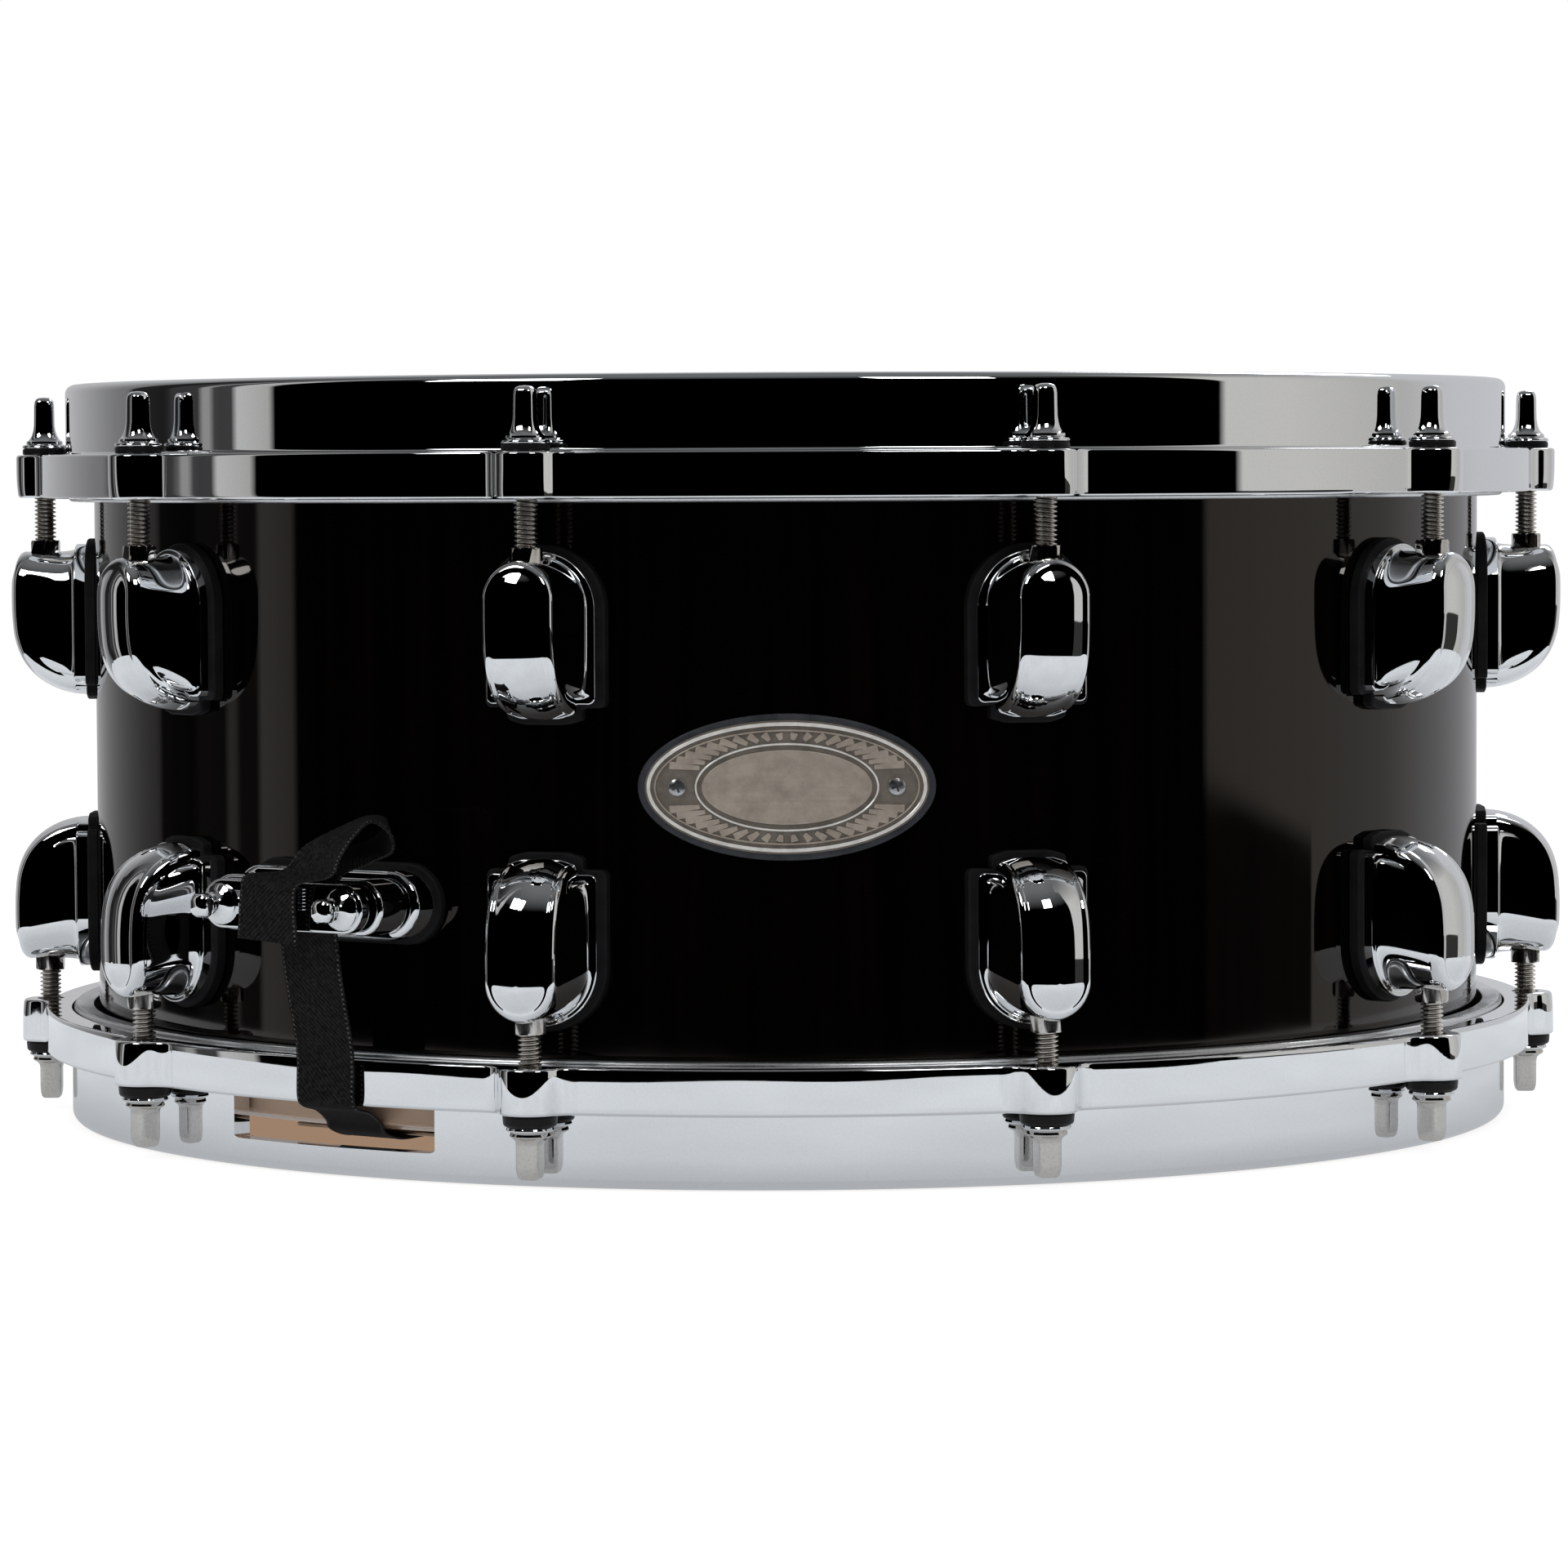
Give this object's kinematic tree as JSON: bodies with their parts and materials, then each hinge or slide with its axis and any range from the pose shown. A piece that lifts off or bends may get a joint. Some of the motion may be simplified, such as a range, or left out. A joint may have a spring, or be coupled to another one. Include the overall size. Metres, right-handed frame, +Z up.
{
  "type": "snare drum",
  "caption": "Snare drum with a lacquered wood shell, scalloped die-cast hoops, single-ended lugs, turning tension rods and a throw-off strainer that drops the snare wires.",
  "frame": {"origin": "middle of the bottom rim's resting plane, on the drum's axis", "axes": "+Z up along the drum's axis, -Y towards the badge, +X to the right as the badge is read"},
  "size_m": [0.4008, 0.387, 0.1873],
  "materials": {
    "lacquered_wood": "black high-gloss lacquer over wood plies",
    "chrome": "polished chrome plate",
    "nickel": "satin nickel plate",
    "spring_steel": "drawn spring wire",
    "zinc": "satin zinc casting",
    "pewter": "antiqued pewter",
    "aluminium": "rolled channel",
    "coated_film": "sprayed white coating",
    "clear_film": "thin hazy clear film",
    "ribbon": "woven ribbon"
  },
  "bodies": {
    "drum": {"shell": "lacquered_wood", "vent_grommet": "chrome", "badge": "pewter", "batter_head": "coated_film", "resonant_head": "clear_film", "batter_flesh_hoop": "aluminium", "resonant_flesh_hoop": "aluminium", "top_hoop": "chrome", "bottom_hoop": "chrome", "butt_body": "chrome", "butt_clamp": "chrome", "butt_strap": "ribbon", "strainer_body": "chrome", "upper_lug_01": "chrome", "upper_lug_02": "chrome", "upper_lug_03": "chrome", "upper_lug_04": "chrome", "upper_lug_05": "chrome", "upper_lug_06": "chrome", "upper_lug_07": "chrome", "upper_lug_08": "chrome", "upper_lug_09": "chrome", "upper_lug_10": "chrome", "lower_lug_01": "chrome", "lower_lug_02": "chrome", "lower_lug_03": "chrome", "lower_lug_04": "chrome", "lower_lug_05": "chrome", "lower_lug_06": "chrome", "lower_lug_07": "chrome", "lower_lug_08": "chrome", "lower_lug_09": "chrome", "lower_lug_10": "chrome"},
    "upper_rod_01": {"upper_rod_01": "chrome"},
    "lower_rod_01": {"lower_rod_01": "nickel"},
    "upper_rod_02": {"upper_rod_02": "chrome"},
    "lower_rod_02": {"lower_rod_02": "nickel"},
    "upper_rod_03": {"upper_rod_03": "chrome"},
    "lower_rod_03": {"lower_rod_03": "nickel"},
    "upper_rod_04": {"upper_rod_04": "chrome"},
    "lower_rod_04": {"lower_rod_04": "nickel"},
    "upper_rod_05": {"upper_rod_05": "chrome"},
    "lower_rod_05": {"lower_rod_05": "nickel"},
    "upper_rod_06": {"upper_rod_06": "chrome"},
    "lower_rod_06": {"lower_rod_06": "nickel"},
    "upper_rod_07": {"upper_rod_07": "chrome"},
    "lower_rod_07": {"lower_rod_07": "nickel"},
    "upper_rod_08": {"upper_rod_08": "chrome"},
    "lower_rod_08": {"lower_rod_08": "nickel"},
    "upper_rod_09": {"upper_rod_09": "chrome"},
    "lower_rod_09": {"lower_rod_09": "nickel"},
    "upper_rod_10": {"upper_rod_10": "chrome"},
    "lower_rod_10": {"lower_rod_10": "nickel"},
    "lever": {"throw_lever": "chrome"},
    "lift": {"lift_block": "zinc"},
    "knob": {"fine_tune_knob": "chrome"},
    "carriage": {"clamp_carriage": "zinc", "strainer_clamp": "chrome", "strainer_strap": "ribbon"},
    "snares": {"snare_wires": "spring_steel"}
  },
  "joints": [
    {"name": "upper_rod_turn_01", "type": "hinge", "parent": "drum", "child": "upper_rod_01", "pos_m": [0.05924, -0.18232, 0.17], "axis": [0, 0, 1], "range_deg": [-180, 720]},
    {"name": "lower_rod_turn_01", "type": "hinge", "parent": "drum", "child": "lower_rod_01", "pos_m": [0.05924, -0.18232, 0.017], "axis": [0, 0, 1], "range_deg": [-720, 180]},
    {"name": "upper_rod_turn_02", "type": "hinge", "parent": "drum", "child": "upper_rod_02", "pos_m": [0.15509, -0.11268, 0.17], "axis": [0, 0, 1], "range_deg": [-180, 720]},
    {"name": "lower_rod_turn_02", "type": "hinge", "parent": "drum", "child": "lower_rod_02", "pos_m": [0.15509, -0.11268, 0.017], "axis": [0, 0, 1], "range_deg": [-720, 180]},
    {"name": "upper_rod_turn_03", "type": "hinge", "parent": "drum", "child": "upper_rod_03", "pos_m": [0.1917, 0, 0.17], "axis": [0, 0, 1], "range_deg": [-180, 720]},
    {"name": "lower_rod_turn_03", "type": "hinge", "parent": "drum", "child": "lower_rod_03", "pos_m": [0.1917, 0, 0.017], "axis": [0, 0, 1], "range_deg": [-720, 180]},
    {"name": "upper_rod_turn_04", "type": "hinge", "parent": "drum", "child": "upper_rod_04", "pos_m": [0.15509, 0.11268, 0.17], "axis": [0, 0, 1], "range_deg": [-180, 720]},
    {"name": "lower_rod_turn_04", "type": "hinge", "parent": "drum", "child": "lower_rod_04", "pos_m": [0.15509, 0.11268, 0.017], "axis": [0, 0, 1], "range_deg": [-720, 180]},
    {"name": "upper_rod_turn_05", "type": "hinge", "parent": "drum", "child": "upper_rod_05", "pos_m": [0.05924, 0.18232, 0.17], "axis": [0, 0, 1], "range_deg": [-180, 720]},
    {"name": "lower_rod_turn_05", "type": "hinge", "parent": "drum", "child": "lower_rod_05", "pos_m": [0.05924, 0.18232, 0.017], "axis": [0, 0, 1], "range_deg": [-720, 180]},
    {"name": "upper_rod_turn_06", "type": "hinge", "parent": "drum", "child": "upper_rod_06", "pos_m": [-0.05924, 0.18232, 0.17], "axis": [0, 0, 1], "range_deg": [-180, 720]},
    {"name": "lower_rod_turn_06", "type": "hinge", "parent": "drum", "child": "lower_rod_06", "pos_m": [-0.05924, 0.18232, 0.017], "axis": [0, 0, 1], "range_deg": [-720, 180]},
    {"name": "upper_rod_turn_07", "type": "hinge", "parent": "drum", "child": "upper_rod_07", "pos_m": [-0.15509, 0.11268, 0.17], "axis": [0, 0, 1], "range_deg": [-180, 720]},
    {"name": "lower_rod_turn_07", "type": "hinge", "parent": "drum", "child": "lower_rod_07", "pos_m": [-0.15509, 0.11268, 0.017], "axis": [0, 0, 1], "range_deg": [-720, 180]},
    {"name": "upper_rod_turn_08", "type": "hinge", "parent": "drum", "child": "upper_rod_08", "pos_m": [-0.1917, 0, 0.17], "axis": [0, 0, 1], "range_deg": [-180, 720]},
    {"name": "lower_rod_turn_08", "type": "hinge", "parent": "drum", "child": "lower_rod_08", "pos_m": [-0.1917, 0, 0.017], "axis": [0, 0, 1], "range_deg": [-720, 180]},
    {"name": "upper_rod_turn_09", "type": "hinge", "parent": "drum", "child": "upper_rod_09", "pos_m": [-0.15509, -0.11268, 0.17], "axis": [0, 0, 1], "range_deg": [-180, 720]},
    {"name": "lower_rod_turn_09", "type": "hinge", "parent": "drum", "child": "lower_rod_09", "pos_m": [-0.15509, -0.11268, 0.017], "axis": [0, 0, 1], "range_deg": [-720, 180]},
    {"name": "upper_rod_turn_10", "type": "hinge", "parent": "drum", "child": "upper_rod_10", "pos_m": [-0.05924, -0.18232, 0.17], "axis": [0, 0, 1], "range_deg": [-180, 720]},
    {"name": "lower_rod_turn_10", "type": "hinge", "parent": "drum", "child": "lower_rod_10", "pos_m": [-0.05924, -0.18232, 0.017], "axis": [0, 0, 1], "range_deg": [-720, 180]},
    {"name": "lever_throw", "type": "hinge", "parent": "drum", "child": "lever", "pos_m": [0.11138, 0.15331, 0.072], "axis": [-0.809, 0.5878, 0], "range_deg": [0, 85]},
    {"name": "lift_slide", "type": "slide", "parent": "drum", "child": "lift", "axis": [0, 0, 1], "range_m": [-0.004, 0]},
    {"name": "knob_turn", "type": "hinge", "parent": "lift", "child": "knob", "pos_m": [0.11109, 0.1529, 0.09], "axis": [0, 0, 1], "range_deg": [0, 360]},
    {"name": "carriage_slide", "type": "slide", "parent": "lift", "child": "carriage", "axis": [0, 0, 1], "range_m": [-0.001, 0]},
    {"name": "snares_drop", "type": "hinge", "parent": "drum", "child": "snares", "pos_m": [-0.09934, -0.13672, 0.0091], "axis": [0.809, -0.5878, 0], "range_deg": [-0.63, 0]}
  ],
  "couplings": [
    {"joint": "lift_slide", "follows": "lever_throw", "m_per_rad": -0.002696},
    {"joint": "snares_drop", "follows": "lever_throw", "ratio": -0.0073},
    {"joint": "knob_turn", "follows": "carriage_slide", "rad_per_m": -6283.2}
  ]
}
